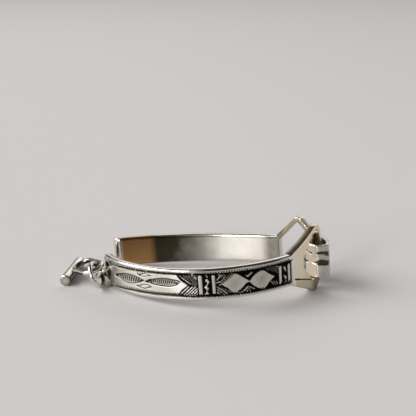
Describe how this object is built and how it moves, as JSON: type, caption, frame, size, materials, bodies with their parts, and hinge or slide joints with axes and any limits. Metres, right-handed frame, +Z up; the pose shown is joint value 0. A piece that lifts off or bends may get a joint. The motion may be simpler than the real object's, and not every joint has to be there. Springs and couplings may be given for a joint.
{
  "type": "hinged silver bangle",
  "caption": "Hinged bangle with an engraved front half, a plain rear half, flared windowed ends joined by a folded strap link, and a short chain with a toggle bar",
  "frame": {"origin": "on the floor, at the middle of the bangle's plan: midway between the front half's front and the rear half's back, and at the front half's middle", "axes": "+X along the bangle's long side towards the hinge, -Y towards the engraved front half, +Z up from the floor it lies on"},
  "size_m": [0.0787, 0.0354, 0.0191],
  "materials": {
    "engraved_silver": "silver, soft shine, engraved and blackened in the cuts",
    "plain_silver": "silver, worn smooth shine",
    "strap_silver": "silver, soft shine, blackened grooves",
    "ring_silver": "silver wire, worn shine",
    "toggle_silver": "silver, satin ends"
  },
  "bodies": {
    "front": {"front_band": "engraved_silver", "strap_link": "strap_silver", "jump_ring": "ring_silver", "chain_ring": "ring_silver", "toggle": "toggle_silver"},
    "rear": {"rear_band": "plain_silver"}
  },
  "joints": [
    {"name": "bangle_hinge", "type": "hinge", "parent": "front", "child": "rear", "pos_m": [0.0311, 0.0107, 0.00895], "axis": [0.0715, 0, -0.9974], "range_deg": [-5, 72]}
  ]
}
